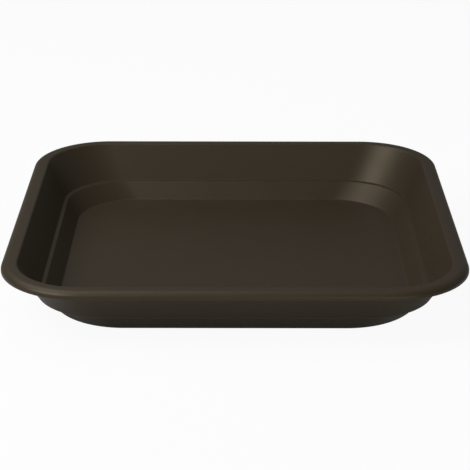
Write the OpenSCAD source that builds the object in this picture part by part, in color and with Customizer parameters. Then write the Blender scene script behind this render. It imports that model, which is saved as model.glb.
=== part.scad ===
// Square plant saucer: a single moulding with a rolled rim, a sloping wall that a narrow ledge
// breaks in two, and a flat floor. Its zones are separate solids that meet face to face.
// Millimetres, +Z up, origin at the middle of the underside.

/* [Overall] */
// Width across the outside of the rim, the same both ways
side = 400; // [320:5:520]
// Height from the surface it stands on to the top of the rim
height = 52.4; // [44:0.2:70]
// Thickness of the walls, the ledge and the rim
wall_t = 1.8; // [1.4:0.1:3.4]
// Thickness of the floor
floor_t = 2.5; // [1.6:0.1:3.4]

/* [Rim] */
// Outside corner radius of the rim, seen from above
rim_corner_r = 72; // [50:1:95]
// Width of the rim's top, from its outer edge to the inner wall
rim_w = 13.6; // [12:0.2:20]
// Width of the oval roll that turns the rim's top down into the lip
roll_w = 7.4; // [6:0.1:11]
// Height of the oval roll
roll_h = 5; // [3.6:0.1:7]
// Straight depth of the lip below the roll
lip_straight = 1.4; // [0.2:0.1:6]
// Width of the outer, steeper part of the roll, which counts as the lip
lip_w = 4; // [3:0.1:5.6]
// Radius of the edge between the rim's top and the inner wall
shoulder_r = 2; // [1:0.1:3]

/* [Walls and ledge] */
// How far the upper wall leans in between the rim and the ledge
upper_lean = 16.4; // [10:0.1:24]
// Height of the ledge's top above the underside
ledge_h = 18.4; // [14:0.1:24]
// Width of the ledge
ledge_w = 3.4; // [2:0.1:8]
// How far the lower wall leans in between the ledge and the floor
lower_lean = 10.8; // [6:0.1:14]

/* [Heel] */
// Outside radius of the heel, where the lower wall turns into the underside
heel_r = 9; // [3:0.1:12]
// Inside radius of the heel, where the lower wall meets the floor
fillet_r = 1.2; // [0.6:0.1:6]

/* [Zones] */
// Width of the plain margin that each curved zone keeps beyond its curves
zone_margin = 1; // [0.5:0.1:1.6]

/* [Hidden] */

// Steps in a quarter turn of a wall's corner, and in one small curve of a section
corner_steps = 20;
curve_steps = 6;
// Smoothness of the round solids
$fn = 96;

half = side / 2;
// Inside corner radius of the walls, the same from rim to floor, so that the rim keeps its width
wall_corner_r = rim_corner_r - rim_w;
plastic = [0.21, 0.19, 0.155];

// Sections are drawn as [inset, z], where the inset is counted in from the rim's outer edge.
// Slope of each wall: how far it leans in for each millimetre down
upper_slope = upper_lean / (height - ledge_h);
lower_slope = lower_lean / (ledge_h - floor_t);
// Thickness of each wall, measured level
upper_level_t = wall_t * sqrt(1 + upper_slope * upper_slope);
lower_level_t = wall_t * sqrt(1 + lower_slope * lower_slope);

// Heights where one zone ends and the next begins
rim_under_z = height - wall_t;
ledge_under_z = ledge_h - wall_t;

// Insets of the inner face: the top of the ledge, its inner edge and the foot of the lower wall
ledge_inset = rim_w + upper_lean;
ledge_edge_inset = ledge_inset + ledge_w;
foot_inset = ledge_edge_inset + lower_lean;

// Inset of the inner face of each wall at height z
function upper_inset(z) = rim_w + upper_slope * (height - z);
function lower_inset(z) = foot_inset - lower_slope * (z - floor_t);

// The heel's curves turn through the angle between the underside and the lower wall
heel_turn = 90 - atan(lower_slope);
heel_tangent = heel_r * tan(heel_turn / 2);
fillet_tangent = fillet_r * tan(heel_turn / 2);
sole_inset = lower_inset(0) - lower_level_t;
heel_centre = [sole_inset + heel_tangent, heel_r];
fillet_centre = [foot_inset + fillet_tangent, floor_t + fillet_r];
heel_top_z = zone_margin + max(heel_tangent * sin(heel_turn), floor_t + fillet_tangent * sin(heel_turn));
floor_inset = zone_margin + max(heel_centre[0], fillet_centre[0]);
// Inset of the corner centres that the heel turns about
heel_pivot = lower_inset(heel_top_z) + wall_corner_r;

// The shoulder turns through the angle between the rim's top and the upper wall
shoulder_turn = 90 - atan(upper_slope);
shoulder_centre = [rim_w - shoulder_r * tan(shoulder_turn / 2), height - shoulder_r];
shoulder_inset = shoulder_centre[0] - zone_margin;

// The roll is a quarter of an oval: 0 degrees at the lip, 90 on top. These are the turns on its
// outer and inner side where the lip gives way to the rim's top
outer_split = acos((roll_w - lip_w) / roll_w);
inner_split = acos((roll_w - lip_w) / (roll_w - wall_t));

// Points of an arc from one angle to another, both in degrees
function arc(centre, r, from, to) =
    [for (i = [0:curve_steps]) let (a = from + (to - from) * i / curve_steps)
        centre + r * [cos(a), sin(a)]];

// Points of the roll at a depth below its outer face, from one turn to another
function roll(depth, from, to) =
    [for (i = [0:curve_steps]) let (a = from + (to - from) * i / curve_steps)
        [roll_w - (roll_w - depth) * cos(a), height - roll_h + (roll_h - depth) * sin(a)]];

// Outline of a rounded square at one inset, corner radius and height
function outline(inset, r, z) =
    [for (quarter = [0:3], i = [0:corner_steps])
        let (a = 90 * quarter + 90 * i / corner_steps, k = half - inset - r)
            [k * (quarter == 0 || quarter == 3 ? 1 : -1) + r * cos(a),
             k * (quarter < 2 ? 1 : -1) + r * sin(a), z]];

// A rounded square plate standing on z = 0
module rounded_plate(inset, r, t) {
    k = half - inset - r;
    union() {
        translate([-k - r, -k, 0]) cube([2 * (k + r), 2 * k, t]);
        translate([-k, -k - r, 0]) cube([2 * k, 2 * (k + r), t]);
        for (x = [-k, k], y = [-k, k]) translate([x, y, 0]) cylinder(r = r, h = t);
    }
}

// A ring of one section, carried round a square whose corners all turn about centres at inset pivot
module turned_ring(section, pivot) {
    k = half - pivot;
    profile = [for (p = section) [pivot - p[0], p[1]]];
    for (turn = [0:3]) rotate(90 * turn) translate([k, k, 0]) {
        rotate_extrude(angle = 90) polygon(profile);
        rotate([90, 0, 0]) linear_extrude(2 * k) polygon(profile);
    }
}

// A ring with four edges, each given as [inset, corner radius, z], in order round its section
module sloping_ring(edges) {
    n = 4 * (corner_steps + 1);
    points = [for (e = edges) each outline(e[0], e[1], e[2])];
    faces = [for (e = [0:3], i = [0:n - 1]) let (j = (i + 1) % n, f = (e + 1) % 4)
        each [[e * n + i, f * n + i, e * n + j], [e * n + j, f * n + i, f * n + j]]];
    polyhedron(points, faces);
}

// Flat floor, whose underside is what the saucer stands on
module floor_panel() {
    color(plastic) rounded_plate(floor_inset, heel_pivot - floor_inset, floor_t);
}

// Curved turn between the floor and the lower wall
module heel() {
    outer = arc(heel_centre, heel_r, 270, 270 - heel_turn);
    inner = arc(fillet_centre, fillet_r, 270 - heel_turn, 270);
    top = [[lower_inset(heel_top_z) - lower_level_t, heel_top_z], [lower_inset(heel_top_z), heel_top_z]];
    section = concat([[floor_inset, 0]], outer, top, inner, [[floor_inset, floor_t]]);
    color(plastic) turned_ring(section, heel_pivot);
}

// Sloping wall below the ledge
module lower_wall() {
    outer_r = wall_corner_r + lower_level_t;
    color(plastic) sloping_ring([
        [lower_inset(heel_top_z), wall_corner_r, heel_top_z],
        [lower_inset(heel_top_z) - lower_level_t, outer_r, heel_top_z],
        [lower_inset(ledge_under_z) - lower_level_t, outer_r, ledge_under_z],
        [lower_inset(ledge_under_z), wall_corner_r, ledge_under_z]]);
}

// Narrow flat ledge that joins the two walls
module step_ledge() {
    outer_r = wall_corner_r + upper_level_t;
    color(plastic) sloping_ring([
        [lower_inset(ledge_under_z), wall_corner_r, ledge_under_z],
        [upper_inset(ledge_under_z) - upper_level_t, outer_r, ledge_under_z],
        [ledge_inset - upper_level_t, outer_r, ledge_h],
        [ledge_edge_inset, wall_corner_r, ledge_h]]);
}

// Sloping wall between the ledge and the rim
module upper_wall() {
    outer_r = wall_corner_r + upper_level_t;
    color(plastic) sloping_ring([
        [ledge_inset, wall_corner_r, ledge_h],
        [ledge_inset - upper_level_t, outer_r, ledge_h],
        [upper_inset(rim_under_z) - upper_level_t, outer_r, rim_under_z],
        [upper_inset(rim_under_z), wall_corner_r, rim_under_z]]);
}

// Rounded edge between the rim's top and the upper wall
module rim_shoulder() {
    edge = arc(shoulder_centre, shoulder_r, 90 - shoulder_turn, 90);
    section = concat([[shoulder_inset, rim_under_z], [upper_inset(rim_under_z), rim_under_z]],
                     edge, [[shoulder_inset, height]]);
    color(plastic) turned_ring(section, rim_corner_r);
}

// Top of the rim, flat beside the shoulder and then falling over the roll
module rim_top() {
    section = concat(roll(0, outer_split, 90), [[shoulder_inset, height], [shoulder_inset, rim_under_z]],
                     roll(wall_t, 90, inner_split));
    color(plastic) turned_ring(section, rim_corner_r);
}

// Outer part of the roll, with the lip that hangs from it
module rim_lip() {
    lip_z = height - roll_h - lip_straight;
    section = concat(roll(0, 0, outer_split), roll(wall_t, inner_split, 0), [[wall_t, lip_z], [0, lip_z]]);
    color(plastic) turned_ring(section, rim_corner_r);
}

floor_panel();
heel();
lower_wall();
step_ledge();
upper_wall();
rim_shoulder();
rim_top();
rim_lip();
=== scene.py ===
# %% [markdown]
# # A square plant saucer in dark brown plastic
# A plant saucer stands under a pot and catches the water that drains out of it. The real one is a
# single thin moulding: a flat floor, two sloping walls with a narrow ledge between them, and a rolled
# rim that keeps the open top stiff. Its solids are already packed, one for each zone of the moulding.
# They could be rendered as they are, but their curves are coarse and their edges knife sharp, so this
# lesson builds a smooth surface for each zone around the same sizes. Names in capitals hold fixed
# values, with lengths in metres unless the name says otherwise. Names in small letters are measured
# or worked out.

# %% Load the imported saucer
import math

import bpy
from mathutils import Matrix, Vector


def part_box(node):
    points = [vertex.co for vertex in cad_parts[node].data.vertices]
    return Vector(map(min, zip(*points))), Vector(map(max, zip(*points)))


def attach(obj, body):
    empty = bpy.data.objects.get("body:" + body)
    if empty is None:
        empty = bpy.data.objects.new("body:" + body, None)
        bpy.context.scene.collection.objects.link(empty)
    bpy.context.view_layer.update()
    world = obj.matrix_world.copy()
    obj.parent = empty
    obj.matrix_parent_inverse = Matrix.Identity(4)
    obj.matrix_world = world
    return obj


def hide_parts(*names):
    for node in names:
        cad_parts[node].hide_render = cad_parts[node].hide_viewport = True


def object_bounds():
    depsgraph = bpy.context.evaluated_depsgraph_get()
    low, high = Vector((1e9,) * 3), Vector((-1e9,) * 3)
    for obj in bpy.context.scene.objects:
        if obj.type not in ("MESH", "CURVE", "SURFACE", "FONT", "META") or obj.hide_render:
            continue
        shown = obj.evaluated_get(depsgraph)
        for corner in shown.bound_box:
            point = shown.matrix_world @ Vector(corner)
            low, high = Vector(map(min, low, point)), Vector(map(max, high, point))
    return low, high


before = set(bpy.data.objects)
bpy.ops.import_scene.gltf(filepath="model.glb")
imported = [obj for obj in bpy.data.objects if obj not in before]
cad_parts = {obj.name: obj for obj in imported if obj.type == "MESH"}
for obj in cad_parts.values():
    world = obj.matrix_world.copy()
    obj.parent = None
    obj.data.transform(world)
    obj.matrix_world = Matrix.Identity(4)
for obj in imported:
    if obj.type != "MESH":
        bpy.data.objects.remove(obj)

cad_low, cad_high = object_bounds()
print("Solids:", len(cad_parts), "zones, box", [round(side, 4) for side in cad_high - cad_low])

# %% [markdown]
# ## The camera
# The saucer was looked at from the front, from about a metre and a half away and from a little above,
# through a long lens, which keeps its sides nearly parallel. The lens could be aimed with a tracking
# constraint. Here the pitch is written down instead, because it is what was measured: the slant of the
# rim and the depth of the floor only agree with one pitch and one focal length. The aim is about the
# middle of the open top. The camera then slides down a little, which brings the whole saucer to the
# middle of the picture. It was held a hair off level too, so a tiny roll comes before the pitch.

# %% Camera
QUARTER_TURN = math.pi / 2
CAMERA_PITCH = math.radians(21.53)
CAMERA_ROLL = math.radians(0.09)
CAMERA_DISTANCE = 1.538
CAMERA_LIFT = -0.0247
LENS_MM = 127.1
AIM_POINT = Vector((0, 0, 0.0514))

line_of_sight = Vector((0, math.cos(CAMERA_PITCH), -math.sin(CAMERA_PITCH)))
upright = Vector((0, math.sin(CAMERA_PITCH), math.cos(CAMERA_PITCH)))

camera = bpy.data.objects.new("camera", bpy.data.cameras.new("camera"))
camera.data.lens = LENS_MM
camera.location = AIM_POINT - CAMERA_DISTANCE * line_of_sight + CAMERA_LIFT * upright
raised = Matrix.Rotation(QUARTER_TURN - CAMERA_PITCH, 3, "X")
camera.rotation_euler = (raised @ Matrix.Rotation(CAMERA_ROLL, 3, "Z")).to_euler()
bpy.context.scene.collection.objects.link(camera)
bpy.context.scene.camera = camera
print("Camera at", [round(place, 3) for place in camera.location])

# %% [markdown]
# ## The sizes of the zones
# Every zone runs round the saucer at some inset from the rim's outer edge and at some height. Both
# could be typed in again, but then they might drift from the solids. Reading the box of each solid
# gives the heights where the zones meet and the reach of each outer face, and two such readings give
# the slope of a wall.

# %% Sizes read from the solids
MM_IN_M = 1000

half_width = cad_high.x
rim_z = cad_high.z


def outer_inset(zone):
    """How far a zone's widest point lies inside the rim's outer edge."""
    return half_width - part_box(zone)[1].x


floor_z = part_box("floor_panel")[1].z
heel_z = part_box("heel")[1].z
ledge_under_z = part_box("step_ledge")[0].z
ledge_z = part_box("step_ledge")[1].z
rim_under_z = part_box("rim_shoulder")[0].z
lip_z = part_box("rim_lip")[0].z
wall_t = rim_z - rim_under_z

upper_slope = (outer_inset("step_ledge") - outer_inset("upper_wall")) / (rim_under_z - ledge_z)
lower_slope = (outer_inset("heel") - outer_inset("lower_wall")) / (ledge_under_z - heel_z)
upper_level_t = wall_t * math.hypot(1, upper_slope)
lower_level_t = wall_t * math.hypot(1, lower_slope)


def upper_outer(z):
    """Inset of the upper wall's outer face at height z."""
    return outer_inset("upper_wall") + upper_slope * (rim_under_z - z)


def upper_inner(z):
    """Inset of the upper wall's inner face at height z."""
    return upper_outer(z) + upper_level_t


def lower_outer(z):
    """Inset of the lower wall's outer face at height z."""
    return outer_inset("lower_wall") + lower_slope * (ledge_under_z - z)


def lower_inner(z):
    """Inset of the lower wall's inner face at height z."""
    return lower_outer(z) + lower_level_t


print("Wall", round(wall_t * MM_IN_M, 2), "mm thick, ledge", round(ledge_z * MM_IN_M, 2), "mm up")
print("Leans:", round(upper_slope, 3), "above the ledge and", round(lower_slope, 3), "below it")

# %% [markdown]
# ## The plastic
# The saucer is moulded in a plastic such as polypropylene, coloured right through: a very dark, warm
# brown with a satin surface. One colour on one smooth surface would look like a drawing. A real
# moulding has small faults that the eye reads as plastic. The pigment is not perfectly mixed, some
# places are a little shinier than others, the mould leaves a fine grain, and a thin wall is never
# quite even. Each is a noise texture here, on object coordinates, so that it runs on without a break
# from one zone to the next.

# %% Plastic material
BROWN_DEEP = (0.0296, 0.0218, 0.0127, 1)
BROWN_PALE = (0.0322, 0.0238, 0.0139, 1)
CLOUD_SCALE = 9
CLOUD_DETAIL = 3
SATIN_LOW = 0.42
SATIN_HIGH = 0.48
SHINE_SCALE = 35
SHINE_DETAIL = 4
GLOSS_LEVEL = 0.35
GLOSS_TINT = (1.0, 0.86, 0.66, 1)
GRAIN_SCALE = 1400
GRAIN_DETAIL = 2
GRAIN_DEPTH = 0.00003
WAVE_SCALE = 18
WAVE_DETAIL = 1
WAVE_DEPTH = 0.0002
NOISE_LOW = 0.3
NOISE_HIGH = 0.7


def texture_noise(tree, coordinates, scale, detail):
    """A noise texture that reads the given coordinates."""
    noise = tree.nodes.new("ShaderNodeTexNoise")
    noise.inputs["Scale"].default_value = scale
    noise.inputs["Detail"].default_value = detail
    tree.links.new(coordinates, noise.inputs["Vector"])
    return noise.outputs["Fac"]


def spread(tree, noise, low, high):
    """Stretches the middle of a noise, where most of it lies, to run from low to high."""
    stretch = tree.nodes.new("ShaderNodeMapRange")
    stretch.inputs["From Min"].default_value = NOISE_LOW
    stretch.inputs["From Max"].default_value = NOISE_HIGH
    stretch.inputs["To Min"].default_value = low
    stretch.inputs["To Max"].default_value = high
    tree.links.new(noise, stretch.inputs["Value"])
    return stretch.outputs["Result"]


def bump(tree, relief, depth, normal=None):
    """A bump of the given depth, laid over another normal if there is one."""
    node = tree.nodes.new("ShaderNodeBump")
    node.inputs["Distance"].default_value = depth
    tree.links.new(relief, node.inputs["Height"])
    if normal:
        tree.links.new(normal, node.inputs["Normal"])
    return node.outputs["Normal"]


def brown_plastic():
    """Satin brown plastic with clouded pigment, uneven shine and a fine moulded grain."""
    material = bpy.data.materials.new("satin_brown_plastic")
    material.use_nodes = True
    tree = material.node_tree
    shader = tree.nodes["Principled BSDF"]
    shader.inputs["Specular IOR Level"].default_value = GLOSS_LEVEL
    shader.inputs["Specular Tint"].default_value = GLOSS_TINT
    place = tree.nodes.new("ShaderNodeTexCoord").outputs["Object"]

    clouds = spread(tree, texture_noise(tree, place, CLOUD_SCALE, CLOUD_DETAIL), 0, 1)
    tint = tree.nodes.new("ShaderNodeMix")
    tint.data_type = "RGBA"
    tint.inputs["A"].default_value = BROWN_DEEP
    tint.inputs["B"].default_value = BROWN_PALE
    tree.links.new(clouds, tint.inputs["Factor"])
    tree.links.new(tint.outputs["Result"], shader.inputs["Base Color"])

    shine = spread(tree, texture_noise(tree, place, SHINE_SCALE, SHINE_DETAIL), SATIN_LOW, SATIN_HIGH)
    tree.links.new(shine, shader.inputs["Roughness"])

    waves = bump(tree, texture_noise(tree, place, WAVE_SCALE, WAVE_DETAIL), WAVE_DEPTH)
    grain = bump(tree, texture_noise(tree, place, GRAIN_SCALE, GRAIN_DETAIL), GRAIN_DEPTH, waves)
    tree.links.new(grain, shader.inputs["Normal"])
    return material


plastic = brown_plastic()
print("Material:", plastic.name, "with", len(plastic.node_tree.nodes), "nodes")

# %% [markdown]
# ## Softened corners
# No edge of a moulding is sharp: the tool that cuts the mould leaves a radius in every corner. A Bevel
# modifier could round the finished mesh, but it rounds by edge angle and would also round the hidden
# faces where two zones meet. Rounding the corners of the section before it is swept gives each corner
# its own radius, and leaves the meeting faces flat.

# %% Rounding the corners of a section
STEP_ANGLE = math.radians(7.5)
FEWEST_STEPS = 2


def softened(corners):
    """Points of a closed section. A corner is (inset, z, softness, corner radius seen from above)."""
    points = []
    for index, (inset, z, softness, plan_radius) in enumerate(corners):
        corner = Vector((inset, z))
        if softness == 0:
            points.append((inset, plan_radius, z))
            continue
        before = (Vector(corners[index - 1][:2]) - corner).normalized()
        after = (Vector(corners[(index + 1) % len(corners)][:2]) - corner).normalized()
        turn = math.pi - before.angle(after)
        centre = corner + (before + after).normalized() * softness / math.cos(turn / 2)
        spoke = corner + before * softness * math.tan(turn / 2) - centre
        steps = max(FEWEST_STEPS, math.ceil(turn / STEP_ANGLE))
        sense = -1 if before.cross(after) > 0 else 1
        for step in range(steps + 1):
            point = centre + Matrix.Rotation(sense * turn * step / steps, 2) @ spoke
            points.append((point.x, plan_radius, point.y))
    return points


print("Curves turn by", round(math.degrees(STEP_ANGLE), 1), "degrees a step")

# %% [markdown]
# ## Writing a tree of nodes
# Geometry Nodes hold a rule as a tree of small calculations. The tree could be drawn by hand in the
# editor, but then it could not be read here. Written out, each calculation takes several lines, and
# the rule gets lost among them. A small class helps: it adds a node, sets or links its inputs and
# hands back the result, so that the rule in the next two steps reads almost like a formula.

# %% Adding nodes to a tree


class SweepTree:
    """A Geometry Nodes tree that is built one calculation at a time."""

    def __init__(self, name):
        self.tree = bpy.data.node_groups.new(name, "GeometryNodeTree")
        self.tree.is_modifier = True

    def node(self, kind, inputs=None, **settings):
        """Adds a node, with its settings made and its inputs set or linked."""
        made = self.tree.nodes.new(kind)
        for setting, value in settings.items():
            setattr(made, setting, value)
        for socket, value in (inputs or {}).items():
            if isinstance(value, bpy.types.NodeSocket):
                self.tree.links.new(value, made.inputs[socket])
            else:
                made.inputs[socket].default_value = value
        return made

    def number(self, operation, first, second=0.0):
        """The result of one calculation on numbers or fields."""
        return self.node("ShaderNodeMath", {0: first, 1: second}, operation=operation).outputs[0]

    def whole(self, operation, first, second):
        """The result of one calculation on whole numbers."""
        return self.node("FunctionNodeIntegerMath", {0: first, 1: second}, operation=operation).outputs[0]


sweep = SweepTree("rounded_square_sweep")
print("Tree:", sweep.tree.name, "with", len(sweep.tree.nodes), "nodes so far")

# %% [markdown]
# ## A grid for every zone
# Seen from above, each level of the saucer is a square with round corners, so every zone is one
# section carried round one rounded square. A curve with a bevel object could do that, but it turns
# the section at each corner about one centre, and in the walls the centre moves from level to level.
# So the tree takes the points of a section, each stored as an inset, a corner radius and a height,
# and makes a grid with a row for each point and a column for each step round the square. A column
# beside each corner, a guard, keeps the corner's shading off the straight sides.

# %% Grid of the sweep
SIDES = 4
CORNER_STEPS = 32
# A corner of n steps has n + 1 columns, and two guards stand between it and the next corner
COLUMNS_BEYOND_STEPS = 3
SWEEP_INPUTS = (
    ("Section", "NodeSocketGeometry"), ("Half Width", "NodeSocketFloat"),
    ("Corner Steps", "NodeSocketInt"), ("Side Guard", "NodeSocketFloat"),
    ("Closed Section", "NodeSocketInt"), ("Material", "NodeSocketMaterial"))


def sweep_inputs():
    """Gives the tree its named inputs and its output, and returns the inputs."""
    for name, kind in SWEEP_INPUTS:
        sweep.tree.interface.new_socket(name, in_out="INPUT", socket_type=kind)
    sweep.tree.interface.new_socket("Zone", in_out="OUTPUT", socket_type="NodeSocketGeometry")
    return sweep.node("NodeGroupInput").outputs


def sweep_grid(given):
    """Makes the grid, and works out the row, quarter and step of each of its points."""
    # One row for each section point, and the first again where the section closes
    point_count = sweep.node("GeometryNodeAttributeDomainSize", {0: given["Section"]}).outputs["Point Count"]
    rows = sweep.whole("ADD", point_count, given["Closed Section"])
    columns_a_quarter = sweep.whole("ADD", given["Corner Steps"], COLUMNS_BEYOND_STEPS)
    columns = sweep.whole("ADD", sweep.whole("MULTIPLY", columns_a_quarter, SIDES), 1)
    grid = sweep.node("GeometryNodeMeshGrid", {"Vertices X": columns, "Vertices Y": rows})

    # The grid's points are counted along its columns
    index = sweep.node("GeometryNodeInputIndex").outputs[0]
    column = sweep.whole("DIVIDE_FLOOR", index, rows)
    row = sweep.whole("MODULO", sweep.whole("MODULO", index, rows), point_count)
    quarter = sweep.whole("DIVIDE_FLOOR", column, columns_a_quarter)
    step = sweep.whole("MODULO", column, columns_a_quarter)
    return grid.outputs["Mesh"], row, quarter, step


def section_point(given, row):
    """The inset, corner radius and height that the section stores for a row."""
    stored = sweep.node("GeometryNodeSampleIndex", {
        "Geometry": given["Section"], "Value": sweep.node("GeometryNodeInputPosition").outputs[0],
        "Index": row}, data_type="FLOAT_VECTOR", domain="POINT").outputs[0]
    return sweep.node("ShaderNodeSeparateXYZ", {0: stored}).outputs


given_inputs = sweep_inputs()
grid_mesh, grid_row, grid_quarter, grid_step = sweep_grid(given_inputs)
point_inset, point_radius, point_z = section_point(given_inputs, grid_row)
print("Columns round the square:", SIDES * (CORNER_STEPS + COLUMNS_BEYOND_STEPS))

# %% [markdown]
# ## Round the square
# What is left is to send each point of the grid to its place. A corner could be drawn first and then
# copied four times, but one formula does for the whole way round: go out along the diagonal to the
# corner's centre, turn about it, and slide along the side for the guards. The grid's first and last
# columns then lie on each other and are merged, which closes the ring.

# %% Rounded square sweep
SIDE_GUARD = 0.006
GUARD_LIMIT = 0.5
CREASE_ANGLE = math.radians(32)
MERGE_DISTANCE = 0.000002


def swept_place(given, inset, radius, z, quarter, step):
    """Where a point goes, from its place in the section and its step round the square."""
    # Steps run round the corner, then to a guard after it and a guard before the next corner
    after = sweep.number("GREATER_THAN", step, given["Corner Steps"])
    before_next = sweep.number("GREATER_THAN", step, sweep.whole("ADD", given["Corner Steps"], 1))
    share = sweep.number("MINIMUM", sweep.number("DIVIDE", step, given["Corner Steps"]), 1.0)
    angle = sweep.number("MULTIPLY", sweep.number("ADD", quarter, share), QUARTER_TURN)
    corner_start = sweep.number("MULTIPLY", sweep.number("ADD", quarter, before_next), QUARTER_TURN)
    diagonal = sweep.number("ADD", corner_start, QUARTER_TURN / 2)

    # A guard lies ahead of its own corner or behind the next, and never past the middle of a side
    flat_half = sweep.number("SUBTRACT", sweep.number("SUBTRACT", given["Half Width"], inset), radius)
    reach = sweep.number("MULTIPLY", flat_half, math.sqrt(2))
    guard = sweep.number("MINIMUM", given["Side Guard"], sweep.number("MULTIPLY", flat_half, GUARD_LIMIT))
    ahead = sweep.number("SUBTRACT", after, before_next)
    along = sweep.number("MULTIPLY", guard, sweep.number("SUBTRACT", ahead, before_next))

    def placed(toward, across, sign):
        """One coordinate: out to the corner's centre, round its radius and along the side."""
        out = sweep.number("MULTIPLY", reach, sweep.number(toward, diagonal))
        turned = sweep.number("MULTIPLY", radius, sweep.number(toward, angle))
        slid = sweep.number("MULTIPLY", sweep.number("MULTIPLY", along, sweep.number(across, angle)), sign)
        return sweep.number("ADD", sweep.number("ADD", out, turned), slid)

    return sweep.node("ShaderNodeCombineXYZ", {
        0: placed("COSINE", "SINE", -1.0), 1: placed("SINE", "COSINE", 1.0), 2: z}).outputs[0]


def finish_sweep(mesh, place, material):
    """Moves the grid to its place, closes its seams and sets its shading and material."""
    shape = sweep.node("GeometryNodeSetPosition", {"Geometry": mesh, "Position": place})
    merged = sweep.node("GeometryNodeMergeByDistance", {
        "Geometry": shape.outputs[0], "Distance": MERGE_DISTANCE})

    # Smooth all over, apart from edges that turn sharply
    smooth = sweep.node("GeometryNodeSetShadeSmooth", {
        "Geometry": merged.outputs[0], "Shade Smooth": True}, domain="FACE")
    turn = sweep.node("GeometryNodeInputMeshEdgeAngle").outputs["Unsigned Angle"]
    creased = sweep.node("GeometryNodeSetShadeSmooth", {
        "Geometry": smooth.outputs[0], "Selection": sweep.number("GREATER_THAN", turn, CREASE_ANGLE),
        "Shade Smooth": False}, domain="EDGE")
    real = sweep.node("GeometryNodeRealizeInstances", {"Geometry": creased.outputs[0]})
    finished = sweep.node("GeometryNodeSetMaterial", {
        "Geometry": real.outputs[0], "Material": material})
    sweep.node("NodeGroupOutput", {0: finished.outputs[0]})


grid_place = swept_place(given_inputs, point_inset, point_radius, point_z, grid_quarter, grid_step)
finish_sweep(grid_mesh, grid_place, given_inputs["Material"])
print("Sweep tree:", len(sweep.tree.nodes), "nodes")

# %% [markdown]
# ## From a section to a zone
# A zone starts as a bare handful of points, its section. The modifier runs the tree on them, and the
# result is copied to a plain mesh, so that nothing is left to evaluate later. The volume is a good
# test of such a mesh: it comes out negative if the faces point inwards, and wrong if a seam is open.

# %% Making a zone
CM3_IN_M3 = 1e6
# Three edges that meet span a box, and the tetrahedron between them is a sixth of it
TETRAHEDRA_IN_BOX = 6


def enclosed_volume(mesh):
    """The volume inside a closed mesh, in cubic centimetres."""
    mesh.calc_loop_triangles()
    total = 0
    for triangle in mesh.loop_triangles:
        first, second, third = (mesh.vertices[corner].co for corner in triangle.vertices)
        total += first.dot(second.cross(third)) / TETRAHEDRA_IN_BOX
    return total * CM3_IN_M3


def make_zone(name, zone, section, closed=True):
    """Sweeps a section into a finished piece that stands for one zone of the solids."""
    points = bpy.data.meshes.new(name)
    points.from_pydata(section, [], [])
    piece = bpy.data.objects.new(name, points)
    bpy.context.scene.collection.objects.link(piece)
    modifier = piece.modifiers.new("sweep", "NODES")
    modifier.node_group = sweep.tree
    sizes = {"Half Width": half_width, "Corner Steps": CORNER_STEPS, "Side Guard": SIDE_GUARD,
             "Closed Section": int(closed), "Material": plastic}
    for socket in sweep.tree.interface.items_tree:
        if socket.in_out == "INPUT" and socket.name in sizes:
            modifier[socket.identifier] = sizes[socket.name]
    evaluated = piece.evaluated_get(bpy.context.evaluated_depsgraph_get())
    mesh = bpy.data.meshes.new_from_object(evaluated)
    # The bare points bring an empty material slot, which comes before the plastic's
    mesh.materials.pop(index=0)
    piece.modifiers.clear()
    piece.data = mesh
    bpy.data.meshes.remove(points)
    mesh.name = name
    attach(piece, "root")
    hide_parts(zone)
    print(name, len(mesh.polygons), "faces,", round(enclosed_volume(mesh), 2), "cubic centimetres")


print("Zones to make:", len(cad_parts))

# %% [markdown]
# ## The floor
# The floor is a flat sheet that ends a little way inside the curve of the heel. Its underside is what
# the saucer stands on. In its middle the plastic was pushed into the mould, and such a gate leaves a
# shallow round dimple with a broken nub that stays above the table. A flat plate with a cut would
# show no nub, so the section starts at the middle of the underside and draws dimple, edge and top.

# %% Floor
RIM_CORNER = 0.072
GATE_RADIUS = 0.006
GATE_DEPTH = 0.0005
GATE_SLOPE = 0.0007
NUB_RADIUS = 0.0014
NUB_SLOPE = 0.0003
NUB_HEIGHT = 0.0003

wall_corner = RIM_CORNER - upper_inner(rim_z)
floor_inset = outer_inset("floor_panel")


def around_middle(distance, z):
    """A section point that sweeps to a circle about the middle of the floor."""
    return (half_width - distance, distance, z)


floor_section = [
    around_middle(0, GATE_DEPTH - NUB_HEIGHT),
    around_middle(NUB_RADIUS, GATE_DEPTH - NUB_HEIGHT),
    around_middle(NUB_RADIUS + NUB_SLOPE, GATE_DEPTH),
    around_middle(GATE_RADIUS - GATE_SLOPE, GATE_DEPTH),
    around_middle(GATE_RADIUS, 0),
    (floor_inset, wall_corner, 0),
    (floor_inset, wall_corner, floor_z),
    around_middle(0, floor_z),
]
make_zone("saucer_floor", "floor_panel", floor_section, closed=False)

# %% [markdown]
# ## The heel
# The heel is the curve that turns the floor up into the wall: a wide one outside, where the saucer
# meets the table, and a tight one inside. A folded sheet with a Solidify modifier could not give both,
# since its two radii would differ by one wall only, so each curve is a softened corner of its own.
# Both start and end in a short flat stretch, so the zone meets its neighbours at their own slope and
# no seam shows in the shading.

# %% Heel
HEEL_RADIUS = 0.009
FILLET_RADIUS = 0.0012

lower_outer_corner = wall_corner + lower_level_t
heel_corners = [
    (floor_inset, 0, 0, wall_corner),
    (lower_outer(0), 0, HEEL_RADIUS, lower_outer_corner),
    (lower_outer(heel_z), heel_z, 0, lower_outer_corner),
    (lower_inner(heel_z), heel_z, 0, wall_corner),
    (lower_inner(floor_z), floor_z, FILLET_RADIUS, wall_corner),
    (floor_inset, floor_z, 0, wall_corner),
]
make_zone("saucer_heel", "heel", softened(heel_corners))

# %% [markdown]
# ## The lower wall
# Between the heel and the ledge the wall is straight. It could be bridged from one outline to a larger
# copy of it, but then its corner radius would grow with the copy. Here the section is a plain slanted
# strip, and the corners keep one radius all the way up. So the wall leans out further on the diagonals
# than on the sides.

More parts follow.
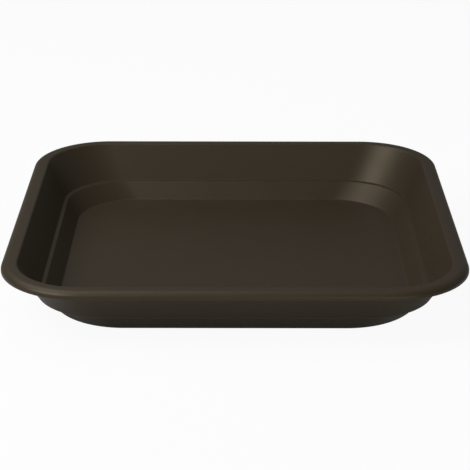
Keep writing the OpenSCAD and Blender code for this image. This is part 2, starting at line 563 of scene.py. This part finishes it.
# %% Lower wall
lower_wall_corners = [
    (lower_outer(heel_z), heel_z, 0, lower_outer_corner),
    (lower_outer(ledge_under_z), ledge_under_z, 0, lower_outer_corner),
    (lower_inner(ledge_under_z), ledge_under_z, 0, wall_corner),
    (lower_inner(heel_z), heel_z, 0, wall_corner),
]
make_zone("saucer_lower_wall", "lower_wall", softened(lower_wall_corners))

# %% [markdown]
# ## The ledge
# A narrow ledge breaks the wall in two. Inside it shows as a thin line all round, and outside as a
# step in the wall. It could be pushed into one tall wall with loop cuts, but what the eye sees there is
# how the three soft edges catch the light, so it is a zone in which each edge has its own radius. It
# reaches a little way up the wall above, to keep the seam off the curve.

# %% Ledge
LEDGE_EDGE_RADIUS = 0.0005
LEDGE_FOOT_RADIUS = 0.0006
STEP_EDGE_RADIUS = 0.0028
LEDGE_SEAM_RISE = 0.0016

upper_outer_corner = wall_corner + upper_level_t
ledge_seam_z = ledge_z + LEDGE_SEAM_RISE
ledge_corners = [
    (lower_outer(ledge_under_z), ledge_under_z, 0, lower_outer_corner),
    (upper_outer(ledge_under_z), ledge_under_z, STEP_EDGE_RADIUS, upper_outer_corner),
    (upper_outer(ledge_seam_z), ledge_seam_z, 0, upper_outer_corner),
    (upper_inner(ledge_seam_z), ledge_seam_z, 0, wall_corner),
    (upper_inner(ledge_z), ledge_z, LEDGE_FOOT_RADIUS, wall_corner),
    (lower_inner(ledge_z), ledge_z, LEDGE_EDGE_RADIUS, wall_corner),
    (lower_inner(ledge_under_z), ledge_under_z, 0, wall_corner),
]
make_zone("saucer_ledge", "step_ledge", softened(ledge_corners))

# %% [markdown]
# ## The upper wall
# The tall wall above the ledge is straight as well, and it leans out less than the one below. It
# carries the soft highlight in the far corner. More rows could be added between its foot and its top,
# but a straight wall needs none, and rows that are not there cannot ripple in the highlight.

# %% Upper wall
upper_wall_corners = [
    (upper_outer(ledge_seam_z), ledge_seam_z, 0, upper_outer_corner),
    (upper_outer(rim_under_z), rim_under_z, 0, upper_outer_corner),
    (upper_inner(rim_under_z), rim_under_z, 0, wall_corner),
    (upper_inner(ledge_seam_z), ledge_seam_z, 0, wall_corner),
]
make_zone("saucer_upper_wall", "upper_wall", softened(upper_wall_corners))

# %% [markdown]
# ## The rim's shoulder
# The wall turns over a small round shoulder into the top of the rim. The wall's corner radius could be
# kept right out to the lip, but then the rim would be wider round its corners than along its sides. So
# from here on the corners of the sections share one centre with the rim's outer corner, and the
# shoulder is where the two ways of cutting a corner meet.

# %% Shoulder
SHOULDER_RADIUS = 0.002

shoulder_inset = outer_inset("rim_shoulder")
shoulder_corner = RIM_CORNER - shoulder_inset
shoulder_corners = [
    (shoulder_inset, rim_under_z, 0, shoulder_corner),
    (shoulder_inset, rim_z, 0, shoulder_corner),
    (upper_inner(rim_z), rim_z, SHOULDER_RADIUS, wall_corner),
    (upper_inner(rim_under_z), rim_under_z, 0, wall_corner),
]
make_zone("saucer_shoulder", "rim_shoulder", softened(shoulder_corners))

# %% [markdown]
# ## The roll of the rim
# The rim is not flat. From its crest beside the shoulder it falls outward, slowly at first, and then
# turns down into the lip. A round edge on a flat top would leave a plain band that catches the light
# as one stripe. A quarter of an oval, wider than it is high, lets the light fade across the rim. The
# roll's inner side is a smaller oval about the same centre, one wall narrower and one wall lower.

# %% Rim top
ROLL_WIDTH = 0.0074
ROLL_HEIGHT = 0.005
ROLL_STEPS = 16

lip_inset = outer_inset("rim_top")
outer_split = math.acos((ROLL_WIDTH - lip_inset) / ROLL_WIDTH)
inner_split = math.acos((ROLL_WIDTH - lip_inset) / (ROLL_WIDTH - wall_t))


def roll(depth, start, end):
    """Section corners on the roll, some depth under its skin, between two turns.

    A turn of 0 is at the lip, and a quarter turn is on top.
    """
    corners = []
    for step in range(ROLL_STEPS + 1):
        turn = start + (end - start) * step / ROLL_STEPS
        inset = ROLL_WIDTH - (ROLL_WIDTH - depth) * math.cos(turn)
        z = rim_z - ROLL_HEIGHT + (ROLL_HEIGHT - depth) * math.sin(turn)
        corners.append((inset, z, 0, RIM_CORNER - inset))
    return corners


rim_top_corners = [
    *roll(0, outer_split, QUARTER_TURN),
    (shoulder_inset, rim_z, 0, shoulder_corner),
    (shoulder_inset, rim_under_z, 0, shoulder_corner),
    *roll(wall_t, QUARTER_TURN, inner_split),
]
make_zone("saucer_rim_top", "rim_top", softened(rim_top_corners))

# %% [markdown]
# ## The lip
# The steep outer part of the roll ends in a short straight lip. It stiffens the edge and is what the
# fingers hold. It could end square, but a moulding's edge never cuts the hand, so its two lower edges
# get a small radius.

# %% Lip
LIP_EDGE_RADIUS = 0.0005

lip_corners = [
    (wall_t, lip_z, LIP_EDGE_RADIUS, RIM_CORNER - wall_t),
    (0, lip_z, LIP_EDGE_RADIUS, RIM_CORNER),
    *roll(0, 0, outer_split),
    *roll(wall_t, inner_split, 0),
]
make_zone("saucer_lip", "rim_lip", softened(lip_corners))

# %% [markdown]
# ## The floor of the studio
# The saucer stands on a plain white floor that runs out of the picture on all sides. Lighting a floor
# until it is white would flood the saucer as well. So the camera sees a floor that gives off almost
# all of its white by itself, and reflections see some of that. The rest is grey paint under the
# lamps, which carries the saucer's soft shadow and sends a little light up to the outer walls.

# %% Studio floor
FLOOR_HALF = 30
FLOOR_DROP = 0.0001
FLOOR_GREY = (0.7, 0.7, 0.7, 1)
SEEN_WHITE = 0.94
REFLECTED_WHITE = 0.15


def white_floor():
    """Pale floor paint that shows white to the camera and keeps a soft shadow."""
    material = bpy.data.materials.new("studio_floor")
    material.use_nodes = True
    tree = material.node_tree
    tree.nodes.clear()
    paint = tree.nodes.new("ShaderNodeBsdfDiffuse")
    paint.inputs["Color"].default_value = FLOOR_GREY
    glow = tree.nodes.new("ShaderNodeEmission")
    rays = tree.nodes.new("ShaderNodeLightPath").outputs

    def calculated(operation, first, second):
        """One calculation on the shares of glow."""
        node = tree.nodes.new("ShaderNodeMath")
        node.operation = operation
        for socket, value in zip(node.inputs, (first, second)):
            if isinstance(value, bpy.types.NodeSocket):
                tree.links.new(value, socket)
            else:
                socket.default_value = value
        return node.outputs[0]

    seen = calculated("MULTIPLY", rays["Is Camera Ray"], SEEN_WHITE)
    mirrored = calculated("MAXIMUM", rays["Is Glossy Ray"], rays["Is Transmission Ray"])
    share = calculated("ADD", seen, calculated("MULTIPLY", mirrored, REFLECTED_WHITE))
    mix = tree.nodes.new("ShaderNodeMixShader")
    tree.links.new(share, mix.inputs["Fac"])
    tree.links.new(paint.outputs[0], mix.inputs[1])
    tree.links.new(glow.outputs[0], mix.inputs[2])
    output = tree.nodes.new("ShaderNodeOutputMaterial")
    tree.links.new(mix.outputs[0], output.inputs["Surface"])
    return material


studio_mesh = bpy.data.meshes.new("studio_floor")
studio_mesh.from_pydata([(x * FLOOR_HALF, y * FLOOR_HALF, -FLOOR_DROP)
                         for x, y in ((-1, -1), (1, -1), (1, 1), (-1, 1))], [], [(0, 1, 2, 3)])
studio_mesh.materials.append(white_floor())
studio_floor = bpy.data.objects.new("studio_floor", studio_mesh)
bpy.context.scene.collection.objects.link(studio_floor)
print("Studio floor:", 2 * FLOOR_HALF, "m square")

# %% [markdown]
# ## The light
# The brightest soft box stands at the front left, well above the rim. It draws the bright patch in the
# far right corner and leaves the left wall in shade. A second hangs higher, at the back left, and
# draws the line along the front of the rim, most of all round its left corner. A weak box over the
# back edge carries that line on to the right, and a low one right of the camera opens up the walls
# that face it. Point lamps would make hard little spots. Area lamps are the plain way to make soft
# boxes: their size sets how soft a highlight is.

# %% Lamps
LIGHT_TARGET = Vector((0, 0, 0.03))
BOX_DISTANCE = 1.5


def soft_box(name, to_left, up, size, watts):
    """A square area lamp that faces LIGHT_TARGET from BOX_DISTANCE.

    It stands to_left degrees round from the camera and up degrees above the level.
    """
    turn = math.radians(to_left)
    rise = math.radians(up)
    away = Vector((-math.sin(turn) * math.cos(rise), -math.cos(turn) * math.cos(rise), math.sin(rise)))
    lamp = bpy.data.objects.new(name, bpy.data.lights.new(name, "AREA"))
    lamp.data.shape = "SQUARE"
    lamp.data.size = size
    lamp.data.energy = watts
    lamp.location = LIGHT_TARGET + BOX_DISTANCE * away
    lamp.rotation_euler = away.to_track_quat("Z", "Y").to_euler()
    lamp.visible_camera = False
    bpy.context.scene.collection.objects.link(lamp)
    print(name, "at", [round(place, 2) for place in lamp.location], "with", watts, "W")


soft_box("key_box", to_left=56, up=45, size=0.75, watts=14)
soft_box("high_box", to_left=122, up=62, size=0.8, watts=6.3)
soft_box("back_box", to_left=190, up=68, size=1.0, watts=0.8)
soft_box("front_box", to_left=-20, up=16, size=0.8, watts=3.3)

# %% [markdown]
# ## The room and the picture
# The room round the boxes is dim and grey, so it fills the shadows without taking over. A picture of a
# real studio could surround the scene instead, but every lamp in it would show up as one more
# highlight, so an even grey is the plain choice.

# %% World and picture
ROOM_GREY = (0.17, 0.17, 0.17, 1)

world = bpy.data.worlds.new("studio_room")
bpy.context.scene.world = world
world.use_nodes = True
world.node_tree.nodes["Background"].inputs["Color"].default_value = ROOM_GREY
bpy.context.scene.view_settings.view_transform = "Standard"
print("Room grey:", ROOM_GREY[0])
